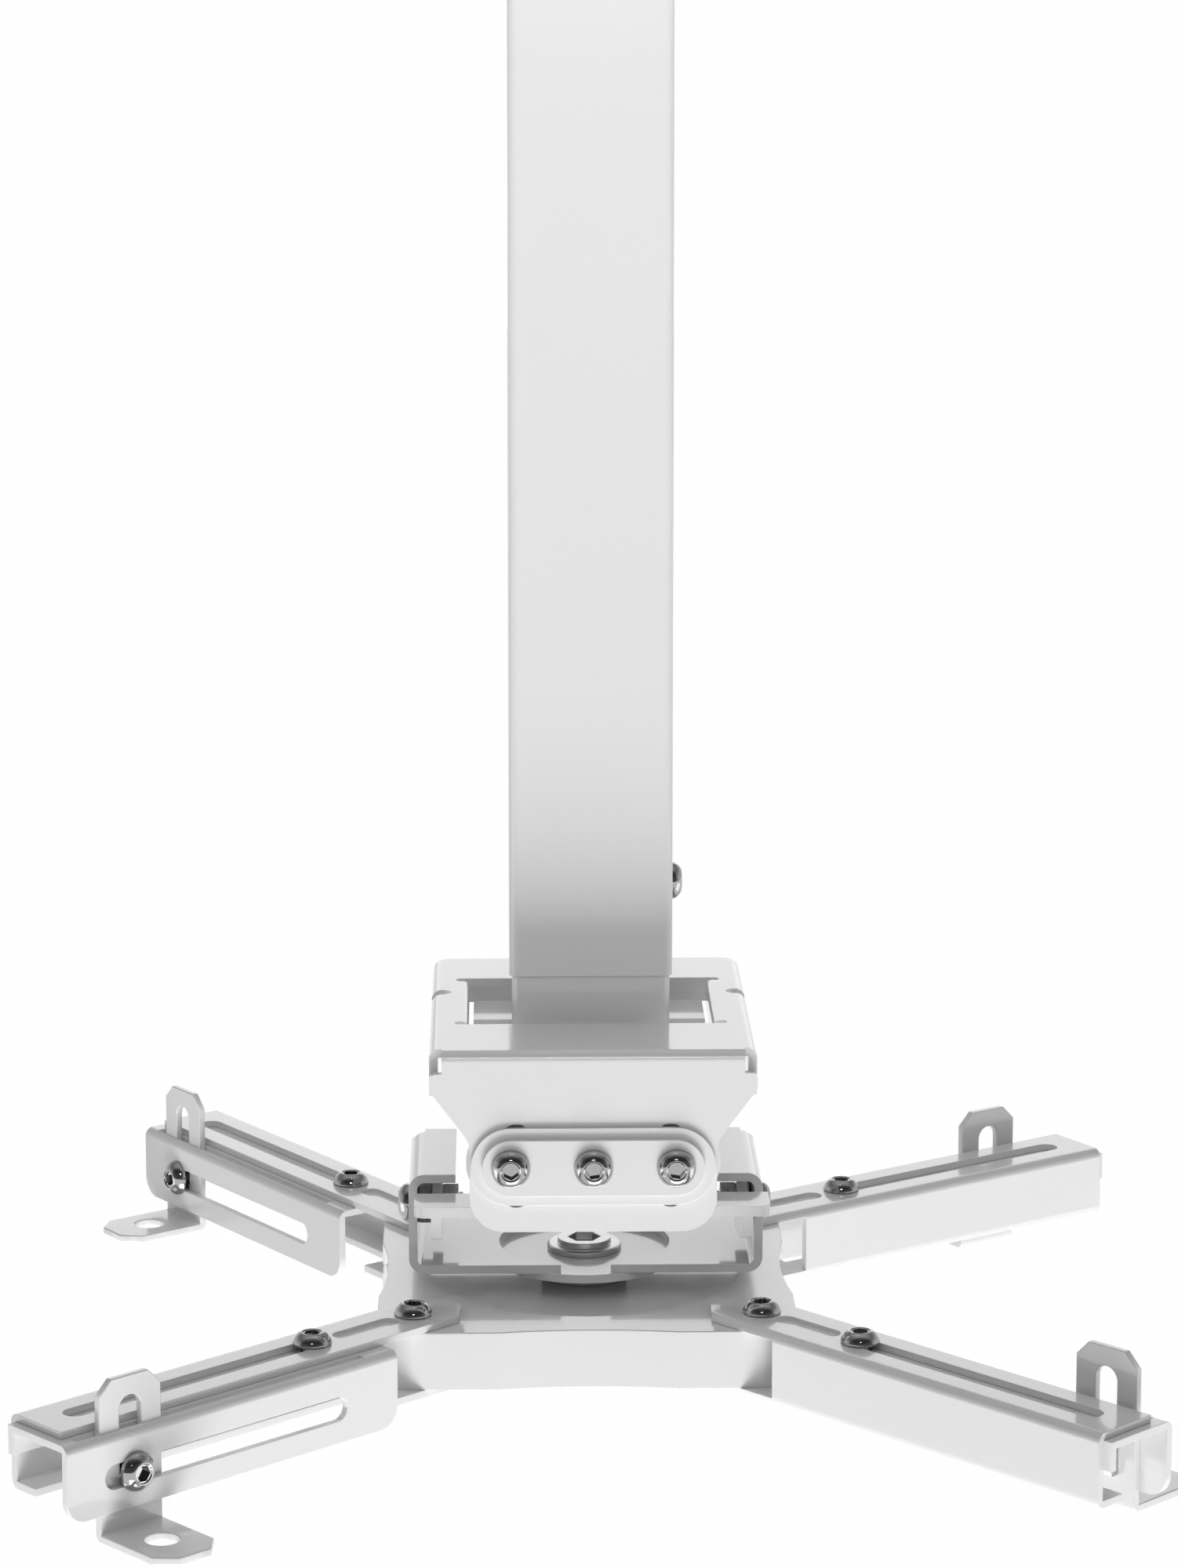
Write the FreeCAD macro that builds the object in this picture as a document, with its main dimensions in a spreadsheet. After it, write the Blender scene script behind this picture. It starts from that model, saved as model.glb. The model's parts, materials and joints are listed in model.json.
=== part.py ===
import FreeCAD, Part
import os
import re
import Sketcher

# Projector ceiling mount. A square column hangs from a ceiling plate and carries a head that rolls,
# pitches and pans, and four telescopic arms whose feet bolt to the projector.
# Millimetres, +Z up, +X to the right, the front is -Y. The origin is the middle of the ceiling
# plate's top face. Heights in the head are measured from the underside of the yoke tray.

os.makedirs("parts", exist_ok=True)
doc = FreeCAD.newDocument("ProjectorCeilingMount")

SIZES = {
    # Ceiling plate and column.
    "ceiling_side": 120, "ceiling_thick": 5, "ceiling_corner": 10,
    "ceiling_pitch": 90, "ceiling_hole": 7, "cable_hole": 34,
    "column_side": 45, "column_wall": 2.2, "column_corner": 3, "column_long": 298.6,
    "column_end": 84.4, "column_screw_up": 22,
    # Screws.
    "screw_bore": 6, "head_wide": 10.5, "head_high": 3.3, "head_flat": 6.4, "socket_wide": 4,
    "socket_deep": 2, "nut_flats": 9, "nut_high": 4.4, "fit": 0.06, "slot_play": 0.3,
    # Saddle, which enters the column.
    "stub_long": 40, "neck_side": 43.5, "saddle_wall": 3, "shoulder_wide": 62, "shoulder_top": 66.8,
    "shoulder_front": 4, "shoulder_back": 24, "nose_wide": 40, "nose_high": 19, "neck_drop": 9.5,
    # Roll clamp on the front plate.
    "roll_up": 40.5, "roll_pitch": 22.3, "arc_reach": 21, "arc_play": 0.7, "bar_wide": 56,
    "clamp_high": 21.4, "clamp_thick": 2.8, "clamp_step": 1.2, "clamp_rim": 3, "nut_bar_thick": 4,
    # Tilt housing, folded from sheet.
    "sheet": 2.4, "bend": 2.8, "housing_wide": 88.5, "housing_top": 72, "housing_front": 55.5,
    "housing_back": 51.5, "housing_skirt": 13, "window_wide": 72, "window_deep": 51,
    "window_lip": 7, "relief_wide": 3.4, "relief_low": 66, "front_chamfer": 61.5,
    "tongue_wide": 66.8, "tongue_top": 47,
    "tongue_low": 22, "tongue_corner": 9.5, "neck_round": 8, "cheek_round": 3,
    # Tilt ledge and its two ears.
    "ledge_thick": 3, "ledge_top": 24.5, "ledge_front": 41, "ledge_back": 27.5, "ledge_wide": 97.6,
    "ledge_neck": 23,
    "ear_out": 44.1, "ear_thick": 2.9, "ear_round": 8,
    # Yoke tray.
    "pitch_up": 14, "yoke_shift": 1.4, "yoke_wide": 98.2, "yoke_deep": 46, "yoke_high": 28.5,
    "yoke_wall": 2.4, "yoke_bend": 4.4, "yoke_lip": 13, "yoke_dish": 51, "dish_drop": 2.2,
    # Pan pivot.
    "pan_bore": 12, "pan_flange": 20.8, "pan_head": 3.3, "pan_step": 15, "pan_socket": 8,
    "pan_nut_flats": 18, "pan_nut_high": 7, "pan_washer": 24,
    # Hub plate.
    "hub_sheet": 2, "hub_drop": 5.55, "hub_high": 16, "pivot_half": 47.5, "hub_ear": 10,
    "hub_curve": 150, "hub_waist": 2, "hub_dish": 92, "hub_dish_drop": 2, "pivot_end": 3,
    # Arm channel. Local x runs outward from the pivot and y to the open side.
    "arm_gap": 0.05, "arm_sheet": 2, "arm_bend": 2.6, "arm_half": 11.5, "arm_open": 9.6,
    "arm_nose": 15, "nose_cut": 7, "arm_long": 127, "web_start": 14.5, "arm_lip": 10,
    "groove_start": 9, "groove_end": 25, "groove_wide": 6, "groove_deep": 1.1,
    "slide_at": 36, "slide_travel": 76,
    # Slider.
    "slider_start": 19, "slider_end": 129.5, "slider_low": 23, "slider_inner_low": 10,
    "flange_out": 15.2, "rail_start": 40, "rail_end": 114,
    # Foot.
    "foot_thick": 2.1, "foot_wide": 20, "foot_up": 11.5, "foot_low": 31, "foot_long": 28,
    "foot_hole": 9, "foot_hole_at": 14.5, "foot_slot": 7, "foot_slot_top": 2.7, "foot_slot_low": 17.4,
    "foot_screw_drop": 13.6, "plate_nut_wide": 9, "plate_nut_high": 11.5, "plate_nut_thick": 2.6,
    # Where each foot is clamped along its slider, and how far it is lifted in its slot.
    "foot_at_nl": 107.5, "foot_at_nr": 111, "foot_at_fl": 110.5, "foot_at_fr": 101,
    "foot_lift_nl": 0, "foot_lift_nr": 2.5, "foot_lift_fl": 2.5, "foot_lift_fr": 0,
    # Headings of the arms, as the photographed mount stands.
    "heading_nl": 222.2, "heading_nr": 313.8, "heading_fl": 125.1, "heading_fr": 33.2,
}

sheet = doc.addObject("Spreadsheet::Sheet", "Sizes")
for row, (alias, value) in enumerate(SIZES.items(), start=1):
    sheet.set("A%d" % row, alias.replace("_", " "))
    sheet.set("B%d" % row, str(value))
    sheet.setAlias("B%d" % row, alias)
doc.recompute()

HEAD = "(0 - ceiling_thick - column_long - column_end)"
WORDS = re.compile(r"[a-z_]+")


def formula(text):
    """Turn plain alias names into references to the spreadsheet."""
    return WORDS.sub(lambda m: "Sizes." + m.group(0) if m.group(0) in SIZES else m.group(0), str(text))


def size(alias):
    """Read one driving dimension from the sheet."""
    return float(sheet.get(alias))


def bind(item, **links):
    """Bind properties of an object to formulas on the sheet."""
    for prop, text in links.items():
        item.setExpression(prop, formula(text))
    return item


def locate(item, x, y, z):
    """Bind the place of an object to formulas on the sheet."""
    for axis, text in zip("xyz", (x, y, z)):
        item.setExpression("Placement.Base." + axis, formula(text))
    return item


def box(x, y, z):
    """A box from three (low, high) pairs of formulas."""
    item = doc.addObject("Part::Box", "Box")
    spans = ["(%s) - (%s)" % (high, low) for low, high in (x, y, z)]
    bind(item, Length=spans[0], Width=spans[1], Height=spans[2])
    return locate(item, x[0], y[0], z[0])


def centred(wide, deep, z):
    """A box centred on the Z axis."""
    return box(("-(%s)/2" % wide, "(%s)/2" % wide), ("-(%s)/2" % deep, "(%s)/2" % deep), z)


AXES = {
    "z": FreeCAD.Rotation(),
    "x": FreeCAD.Rotation(FreeCAD.Vector(0, 1, 0), 90),
    "y": FreeCAD.Rotation(FreeCAD.Vector(1, 0, 0), -90),
}


def rod(axis, radius, length, x=0, y=0, z=0):
    """A cylinder along +X, +Y or +Z from the given point."""
    item = doc.addObject("Part::Cylinder", "Rod")
    item.Placement = FreeCAD.Placement(FreeCAD.Vector(), AXES[axis])
    bind(item, Radius=radius, Height=length)
    return locate(item, x, y, z)


def fuse(*items):
    joined = doc.addObject("Part::MultiFuse", "Fuse")
    joined.Shapes = list(items)
    joined.Refine = True
    return joined


def cut(base, *tools):
    result = doc.addObject("Part::Cut", "Cut")
    result.Base = base
    result.Tool = tools[0] if len(tools) == 1 else fuse(*tools)
    return result


def slot(plane, ends, level, width, low, high):
    """A slot cutter through a plate, for the planes xy (along x), xz (along x) and zx (along z)."""
    radius = "(%s)/2" % width
    depth = "(%s) - (%s)" % (high, low)
    band = ("(%s) - %s" % (level, radius), "(%s) + %s" % (level, radius))
    if plane == "xy":
        rounds = [rod("z", radius, depth, end, level, low) for end in ends]
        middle = box(ends, band, (low, high))
    elif plane == "xz":
        rounds = [rod("y", radius, depth, end, low, level) for end in ends]
        middle = box(ends, (low, high), band)
    else:
        rounds = [rod("y", radius, depth, level, low, end) for end in ends]
        middle = box(band, (low, high), ends)
    return fuse(*rounds, middle)


def edges_where(item, axis, test):
    """Numbers of the straight edges along one axis whose middle passes the test, or of any edges."""
    doc.recompute()
    if axis == "any":
        return [number for number, edge in enumerate(item.Shape.Edges, start=1)
                if test(edge.CenterOfMass)]
    along = {"x": (1, 0, 0), "y": (0, 1, 0), "z": (0, 0, 1)}[axis]
    found = []
    for number, edge in enumerate(item.Shape.Edges, start=1):
        if len(edge.Vertexes) != 2 or edge.Curve.TypeId != "Part::GeomLine":
            continue
        if abs(edge.Curve.Direction.dot(FreeCAD.Vector(along))) > 0.999 and test(edge.CenterOfMass):
            found.append(number)
    return found


def rounded(item, radius, axis, test=lambda p: True, kind="Fillet"):
    """Round or chamfer the edges along one axis that pass the test."""
    result = doc.addObject("Part::" + kind, kind)
    result.Base = item
    result.Edges = [(number, radius, radius) for number in edges_where(item, axis, test)]
    return result


def outline(plane, points, low, high):
    """A plate from a bound sketch outline, between two heights over its plane."""
    sketch = doc.addObject("Sketcher::SketchObject", "Outline")
    last = len(points)
    for number in range(last):
        near = FreeCAD.Vector(number, number * number, 0)
        far = FreeCAD.Vector((number + 1) % last, ((number + 1) % last) ** 2, 0)
        sketch.addGeometry(Part.LineSegment(near, far))
    for number in range(last):
        sketch.addConstraint(Sketcher.Constraint("Coincident", number, 2, (number + 1) % last, 1))
    for number, (across, up) in enumerate(points):
        for kind, text in (("DistanceX", across), ("DistanceY", up)):
            index = sketch.addConstraint(Sketcher.Constraint(kind, -1, 1, number, 1, 1.0))
            sketch.setExpression("Constraints[%d]" % index, formula(text))
    if plane == "xz":
        sketch.Placement.Rotation = FreeCAD.Rotation(FreeCAD.Vector(1, 0, 0), 90)
        sketch.setExpression("Placement.Base.y", formula(high))
        direction = (0, -1, 0)
    else:
        sketch.Placement.Rotation = FreeCAD.Rotation(FreeCAD.Vector(1, 1, 1), 120)
        sketch.setExpression("Placement.Base.x", formula(low))
        direction = (1, 0, 0)
    plate = doc.addObject("Part::Extrusion", "Plate")
    plate.Base = sketch
    plate.DirMode = "Custom"
    plate.Dir = direction
    plate.Solid = True
    plate.setExpression("LengthFwd", formula("(%s) - (%s)" % (high, low)))
    return plate


NODES = []


def node(name, item, x=0, y=0, z=HEAD, heading=None, turn=None):
    """Name a finished piece and set it in its place."""
    item.Label = name
    if turn:
        item.Placement.Rotation = FreeCAD.Rotation(FreeCAD.Vector(*turn[0]), turn[1])
    locate(item, x, y, z)
    if heading:
        item.Placement.Rotation = FreeCAD.Rotation(FreeCAD.Vector(0, 0, 1), 1)
        item.setExpression("Placement.Rotation.Angle", formula(heading))
    NODES.append(item)
    return item


def screw(length):
    """A button head screw whose shank runs down from a head that sits on the origin."""
    head = doc.addObject("Part::Cone", "Head")
    bind(head, Radius1="head_wide/2", Radius2="head_flat/2", Height="head_high")
    shank = rod("z", "screw_bore/2", length, 0, 0, "-(%s)" % length)
    socket = doc.addObject("Part::Prism", "Socket")
    socket.Polygon = 6
    bind(socket, Circumradius="socket_wide/2/cos(30)", Height="socket_deep + 1")
    locate(socket, 0, 0, "head_high - socket_deep")
    return cut(fuse(head, shank), socket)


def hex_nut(flats, high, bore):
    """A hexagon nut standing on the origin."""
    prism = doc.addObject("Part::Prism", "Hexagon")
    prism.Polygon = 6
    bind(prism, Circumradius="(%s)/2/cos(30)" % flats, Height=high)
    return cut(prism, rod("z", bore, "(%s) + 2" % high, 0, 0, -1))


def ceiling_plate():
    """The plate on the ceiling, with four screw holes and the cable way."""
    plate = centred("ceiling_side", "ceiling_side", ("-ceiling_thick", 0))
    plate = rounded(plate, size("ceiling_corner"), "z")
    holes = [rod("z", "cable_hole/2", "ceiling_thick + 2", 0, 0, "-ceiling_thick - 1")]
    for across in ("-ceiling_pitch/2", "ceiling_pitch/2"):
        for deep in ("-ceiling_pitch/2", "ceiling_pitch/2"):
            holes.append(rod("z", "ceiling_hole/2", "ceiling_thick + 2", across, deep,
                             "-ceiling_thick - 1"))
    node("ceiling_plate", cut(plate, *holes), 0, 0, 0)


def column():
    """The square tube, and the screw that holds the saddle's stub in its lower end."""
    low = "-ceiling_thick - column_long"
    outer = centred("column_side", "column_side", (low, "-ceiling_thick"))
    outer = rounded(outer, size("column_corner"), "z")
    hollow = "column_side - 2*column_wall"
    inner = centred(hollow, hollow, (low + " - 1", "1 - ceiling_thick"))
    inner = rounded(inner, max(size("column_corner") - size("column_wall"), 0.5), "z")
    hole = rod("x", "screw_bore/2 + fit", "column_side", 0, 0, low + " + column_screw_up")
    node("column_tube", cut(outer, inner, hole), 0, 0, 0)
    bolt = screw("column_wall + saddle_wall + 3")
    node("column_screw", bolt, "column_side/2", 0, "%s + column_end + column_screw_up" % HEAD,
         turn=((0, 1, 0), 90))


def saddle():
    """The forged saddle: a stub in the column, a neck, two shoulders and the nose that is clamped."""
    stub_wide = "column_side - 2*column_wall - 2*fit"
    stub = rounded(centred(stub_wide, stub_wide, ("column_end - 1", "column_end + stub_long")), 1.5, "z")
    neck_low = "roll_up - neck_drop"
    neck = rounded(centred("neck_side", "neck_side", (neck_low, "column_end")), 3, "z")
    shoulder = box(("-shoulder_wide/2", "shoulder_wide/2"), ("-shoulder_front", "shoulder_back"),
                   ("housing_top - sheet - 20", "shoulder_top"))
    shoulder = rounded(shoulder, 4, "x", lambda p: p.z > size("shoulder_top") - 1)
    under = box(("-shoulder_wide/2 - 1", "shoulder_wide/2 + 1"),
                ("saddle_wall - shoulder_front", "shoulder_back + 1"),
                ("housing_top - sheet - 21", "shoulder_top - saddle_wall"))
    shoulder = cut(shoulder, under)
    face = "-housing_front + sheet + fit"
    nose_low = "roll_up - nose_high/2"
    nose = box(("-nose_wide/2", "nose_wide/2"), (face, "-neck_side/2 + saddle_wall"),
               (nose_low, "roll_up + nose_high/2"))
    pocket = box(("-nose_wide/2 - 1", "nose_wide/2 + 1"), (face + " + saddle_wall", "-neck_side/2 - 0.5"),
                 (nose_low + " + saddle_wall", "roll_up + nose_high/2 - saddle_wall"))
    nose = cut(nose, pocket)
    front = slot("xz", ("-roll_pitch", "roll_pitch"), "roll_up", "clamp_high",
                 face, face + " + saddle_wall")
    solid = fuse(stub, neck, shoulder, nose, front)
    bore = "neck_side - 2*saddle_wall - 3"
    way = centred(bore, bore, (neck_low + " - 1", "column_end + stub_long + 1"))
    hole = rod("x", "screw_bore/2", "column_side", 0, 0, "column_end + column_screw_up")
    holes = [rod("y", "screw_bore/2 + fit", "saddle_wall + 2", at, face + " - 1", "roll_up")
             for at in ("-roll_pitch", "0", "roll_pitch")]
    node("saddle", cut(solid, way, hole, *holes))


def roll_clamp():
    """The stepped clamp plate, its three screws and the threaded bar behind the housing's front."""
    ends = ("-roll_pitch", "roll_pitch")
    back = "-housing_front - fit"
    plate = slot("xz", ends, "roll_up", "clamp_high", back + " - clamp_step", back)
    raised = slot("xz", ends, "roll_up", "clamp_high - 2*clamp_rim", back + " - clamp_thick",
                  back + " - clamp_step")
    holes = [rod("y", "screw_bore/2 + fit", "clamp_thick + 2", at, back + " - clamp_thick - 1", "roll_up")
             for at in ("-roll_pitch", "0", "roll_pitch")]
    node("roll_clamp_plate", cut(fuse(plate, raised), *holes))
    bar_front = "-housing_front + sheet + fit + saddle_wall"
    inside = "nose_high/2 - saddle_wall - fit"
    bar = box(("-bar_wide/2", "bar_wide/2"), (bar_front, bar_front + " + nut_bar_thick"),
              ("roll_up - (%s)" % inside, "roll_up + (%s)" % inside))
    holes = [rod("y", "screw_bore/2", "nut_bar_thick + 2", at, bar_front + " - 1", "roll_up")
             for at in ("-roll_pitch", "0", "roll_pitch")]
    node("roll_nut_bar", cut(bar, *holes))
    length = "clamp_thick + sheet + saddle_wall + nut_bar_thick + 3*fit + 1.5"
    for number, at in enumerate(("-roll_pitch", "0", "roll_pitch"), start=1):
        node("roll_screw_%d" % number, screw(length), at, back + " - clamp_thick", "%s + roll_up" % HEAD,
             turn=((1, 0, 0), 90))


def roll_arcs(low, high):
    """The two arc slots that the outer clamp screws run along as the housing rolls."""
    depth = "(%s) - (%s)" % (high, low)
    radius = "screw_bore/2 + arc_play"
    tools = []
    for side in ("-1", "1"):
        ring = cut(rod("y", "roll_pitch + " + radius, depth, 0, low, "roll_up"),
                   rod("y", "roll_pitch - (%s)" % radius, depth, 0, low, "roll_up"))
        reach = "%s*(roll_pitch + 10)" % side
        rise = "(roll_pitch + 10)*tan(arc_reach)"
        corners = [("0", "roll_up"), (reach, "roll_up - " + rise), (reach, "roll_up + " + rise)]
        sector = outline("xz", corners, low, high)
        part = doc.addObject("Part::MultiCommon", "Arc")
        part.Shapes = [ring, sector]
        tools.append(part)
        for way in ("-1", "1"):
            across = "%s*roll_pitch*cos(arc_reach)" % side
            up = "roll_up + %s*roll_pitch*sin(arc_reach)" % way
            tools.append(rod("y", radius, depth, across, low, up))
    return tools


def tilt_housing():
    """The folded lid that rolls on the saddle, with its window, skirts and long front tongue."""
    wide = ("-housing_wide/2", "housing_wide/2")
    deep = ("-housing_front", "housing_back")
    shell = box(wide, deep, ("housing_top - housing_skirt", "housing_top"))
    shell = rounded(shell, size("bend") + 2, "z", lambda p: p.y > 0)
    shell = rounded(shell, size("bend"), "any", lambda p: p.z > size("housing_top") - 0.1)
    hollow = box(("-housing_wide/2 + sheet", "housing_wide/2 - sheet"),
                 ("-housing_front + sheet", "housing_back - sheet"),
                 ("housing_top - housing_skirt - 1", "housing_top - sheet"))
    hollow = rounded(hollow, size("bend") + 2 - size("sheet"), "z", lambda p: p.y > 0)
    mouth = box(("-housing_wide/2 - 1", "housing_wide/2 + 1"),
                ("-housing_front - 1", "-housing_front + sheet"),
                ("housing_top - housing_skirt - 1", "housing_top - bend"))
    half = "housing_wide/2"
    reach = half + " - relief_wide"
    left = [("-(%s)" % reach, "housing_top - bend"), ("-(%s)" % reach, "relief_low"),
            ("-" + half, "relief_low"), ("-" + half, "front_chamfer"),
            ("-tongue_wide/2", "tongue_top"), ("-tongue_wide/2", "tongue_low")]
    right = [("tongue_wide/2", "tongue_low"), ("tongue_wide/2", "tongue_top"), (half, "front_chamfer"),
             (half, "relief_low"), (reach, "relief_low"), (reach, "housing_top - bend")]
    front = outline("xz", left + right, "-housing_front", "-housing_front + sheet")
    front = rounded(front, size("tongue_corner"), "y", lambda p: p.z < size("tongue_low") + 1)
    front = rounded(front, size("neck_round"), "y", lambda p: abs(p.z - size("tongue_top")) < 0.5)
    front = rounded(front, size("cheek_round"), "y", lambda p: abs(p.z - size("front_chamfer")) < 0.5)
    front = rounded(front, size("sheet") - 0.4, "y",
                    lambda p: abs(p.z - size("relief_low")) < 0.1
                    and abs(p.x) > size("housing_wide") / 2 - 1)
    window = box(("-window_wide/2", "window_wide/2"), ("-window_deep/2", "window_deep/2"),
                 ("housing_top - sheet - 1", "housing_top + 1"))
    lips = []
    for side in ("-1", "1"):
        inner = "%s*(window_wide/2 - sheet)" % side
        outer = "%s*window_wide/2" % side
        span = (outer, inner) if side == "-1" else (inner, outer)
        lip = box(span, ("-window_deep/2 + 3", "window_deep/2 - 3"),
                  ("housing_top - window_lip", "housing_top"))
        near = (lambda p: p.x > -size("window_wide") / 2 + 1) if side == "-1" else (
            lambda p: p.x < size("window_wide") / 2 - 1)
        lips.append(rounded(lip, size("sheet") * 0.8, "y",
                            lambda p, near=near: near(p) and p.z > size("housing_top") - 1))
    horns = []
    notches = []
    for side in ("-1", "1"):
        for way in ("-1", "1"):
            horns.append(rod("z", 1.5, "sheet + 2", "%s*(window_wide/2)" % side,
                             "%s*(window_deep/2 - 1.5)" % way, "housing_top - sheet - 1"))
        edge = "%s*housing_wide/2" % side
        notches.append(slot("xy", (edge + " - 3", edge + " + 3"), 10, 5, "housing_top - 9",
                            "housing_top + 1"))
        notches.append(box((edge + " - relief_wide", edge + " + relief_wide"),
                           ("-housing_front - 1", "-housing_front + bend + 1"),
                           ("relief_low", "housing_top + 1")))
        notches.append(box((edge + " - sheet - 1", edge + " + 1"),
                           ("-housing_front + sheet", "-housing_front + bend + 1"),
                           ("housing_top - housing_skirt - 1", "relief_low + 1")))
    arcs = roll_arcs("-housing_front - 1", "-housing_front + sheet + 1")
    hole = rod("y", "screw_bore/2 + fit", "sheet + 2", 0, "-housing_front - 1", "roll_up")
    body = cut(fuse(cut(shell, hollow, mouth), front), window, hole, *horns, *notches, *arcs)
    node("tilt_housing", fuse(body, *lips))


def tilt_ledge():
    """The welded ledge behind the tongue, with the two ears that hold the pitch screws."""
    ledge_z = ("ledge_top - ledge_thick", "ledge_top")
    ledge = box(("-ledge_wide/2", "ledge_wide/2"), ("-ledge_front", "-ledge_back"), ledge_z)
    ledge = rounded(ledge, 3, "z", lambda p: p.y < -size("ledge_back") - 1)
    neck = box(("-ledge_neck/2", "ledge_neck/2"), ("-housing_front + sheet", "-ledge_front + 1"),
               ("tongue_low", "ledge_top"))
    ears = []
    for side in ("-1", "1"):
        out, inn = "%s*ear_out" % side, "%s*(ear_out - ear_thick)" % side
        span = (out, inn) if side == "-1" else (inn, out)
        corners = [("-ledge_front + 1", "ledge_top - 1"), ("-ledge_back - 0.5", "ledge_top - 1"),
                   ("-ledge_back + 1", "pitch_up + 4.6"), ("0", "pitch_up + ear_round"),
                   ("0", "pitch_up - ear_round"), ("-ledge_back + 4", "pitch_up - 4"),
                   ("-ledge_front + 1", "pitch_up + 1.5")]
        web = outline("yz", corners, span[0], span[1])
        boss = rod("x", "ear_round", "ear_thick", span[0], 0, "pitch_up")
        hole = rod("x", "screw_bore/2 + fit", "ear_thick + 2", span[0] + " - 1", 0, "pitch_up")
        ears.append(cut(fuse(web, boss), hole))
    node("tilt_ledge", fuse(ledge, neck, *ears))


def yoke():
    """The tray that pitches on the ears: floor, two walls and their turned-in top flanges."""
    half = "yoke_wide/2"
    deep = ("-yoke_deep/2", "yoke_deep/2")
    outer = box(("-" + half, half), deep, ("0", "yoke_high"))
    outer = rounded(outer, size("yoke_bend"), "y")
    inside = box(("yoke_wall - " + half, half + " - yoke_wall"), ("-yoke_deep/2 - 1", "yoke_deep/2 + 1"),
                 ("yoke_wall", "yoke_high - yoke_wall"))
    inside = rounded(inside, size("yoke_bend") - size("yoke_wall"), "y")
    mouth = box(("yoke_lip - " + half, half + " - yoke_lip"), ("-yoke_deep/2 - 1", "yoke_deep/2 + 1"),
                ("yoke_high - yoke_wall - 1", "yoke_high + 1"))
    backs = []
    for side in ("-1", "1"):
        edge = "%s*(%s)" % (side, half)
        backs.append(box((edge + " - 4", edge + " + 4"), ("yoke_deep/2 - 3", "yoke_deep/2 + 1"),
                         ("yoke_high - yoke_wall", "yoke_high + 1")))
    boss = rod("z", "yoke_dish/2", "yoke_wall", 0, 0, "-dish_drop")
    bowl = rod("z", "yoke_dish/2 - 1.5", "yoke_wall", 0, 0, "yoke_wall - dish_drop")
    holes = [rod("x", "screw_bore/2 + fit", "yoke_wide + 2", "-%s - 1" % half, 0, "pitch_up")]
    bore = rod("z", "pan_bore/2", "yoke_wall + 4", 0, 0, "-dish_drop - 1")
    tray = fuse(cut(outer, inside, mouth, *backs), boss)
    node("yoke_tray", cut(tray, bowl, bore, *holes), "-yoke_shift")


def pitch_screws():
    """The two pitch screws, their spacers between wall and ear, and their nuts inside the ears."""
    for name, side in (("left", -1), ("right", 1)):
        wall = "%d*yoke_wide/2 - yoke_shift" % side
        gap = "yoke_wide/2 - yoke_wall - ear_out + %d*yoke_shift" % -side
        length = "yoke_wall + ear_thick + nut_high + 1.5 + (%s)" % gap
        level = "%s + pitch_up" % HEAD
        node("pitch_screw_" + name, screw(length), wall, 0, level, turn=((0, 1, 0), 90 * side))
        spacer = cut(rod("z", "ear_round - 2", gap + " - fit"), rod("z", "screw_bore/2 + fit", gap))
        start = "%d*(yoke_wide/2 - yoke_wall) - yoke_shift" % side
        node("pitch_spacer_" + name, spacer, start, 0, level, turn=((0, 1, 0), -90 * side))
        nut = hex_nut("nut_flats", "nut_high", "screw_bore/2")
        inner = "%d*(ear_out - ear_thick)" % side
        node("pitch_nut_" + name, nut, inner, 0, level, turn=((0, 1, 0), -90 * side))


def pan_pivot():
    """The flanged pan screw in the tray's dish, the thrust washer under the tray, and the nut."""
    seat = "yoke_wall - dish_drop"
    flange = rod("z", "pan_flange/2", "pan_head - 1.5", 0, 0, seat)
    seat_top = size("yoke_wall") - size("dish_drop") + size("pan_head") - 1.5
    flange = rounded(flange, 0.6, "any", lambda p: p.z > seat_top - 0.1, kind="Chamfer")
    step = rod("z", "pan_step/2", 1.5, 0, 0, seat + " + pan_head - 1.5")
    under = "-hub_drop - hub_dish_drop - hub_sheet - fit"
    shank = rod("z", "pan_bore/2", "%s - (%s) + pan_nut_high + 1" % (seat, under), 0, 0,
                under + " - pan_nut_high - 1")
    socket = doc.addObject("Part::Prism", "Socket")
    socket.Polygon = 6
    bind(socket, Circumradius="pan_socket/2/cos(30)", Height="pan_head + 1")
    locate(socket, 0, 0, seat + " + 1")
    node("pan_screw", cut(fuse(flange, step, shank), socket), "-yoke_shift")
    washer = cut(rod("z", "pan_washer/2", "hub_drop + hub_dish_drop - dish_drop - fit", 0, 0,
                     "-hub_drop - hub_dish_drop + fit"),
                 rod("z", "pan_bore/2", "hub_drop + hub_dish_drop + 2", 0, 0,
                     "-hub_drop - hub_dish_drop - 1"))
    node("pan_washer", washer, "-yoke_shift")
    nut = hex_nut("pan_nut_flats", "pan_nut_high", "pan_bore/2")
    node("pan_nut", nut, "-yoke_shift", 0, "%s + (%s - pan_nut_high)" % (HEAD, under))


def hub_form(inset, low, high):
    """The hub's outline as a solid: a square with round ears and hollowed sides, set in by the inset."""
    side = "2*(pivot_half + hub_ear - %s)" % inset
    radius = size("hub_ear") - (size(inset) if inset in SIZES else 0)
    form = rounded(centred(side, side, (low, high)), radius, "z")
    tools = []
    away = "pivot_half + hub_ear - hub_waist + hub_curve"
    for across, deep in (("1", "0"), ("-1", "0"), ("0", "1"), ("0", "-1")):
        tools.append(rod("z", "hub_curve + %s" % inset, "(%s) - (%s)" % (high, low),
                         "%s*(%s)" % (across, away), "%s*(%s)" % (deep, away), low))
    return cut(form, *tools)


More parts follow.
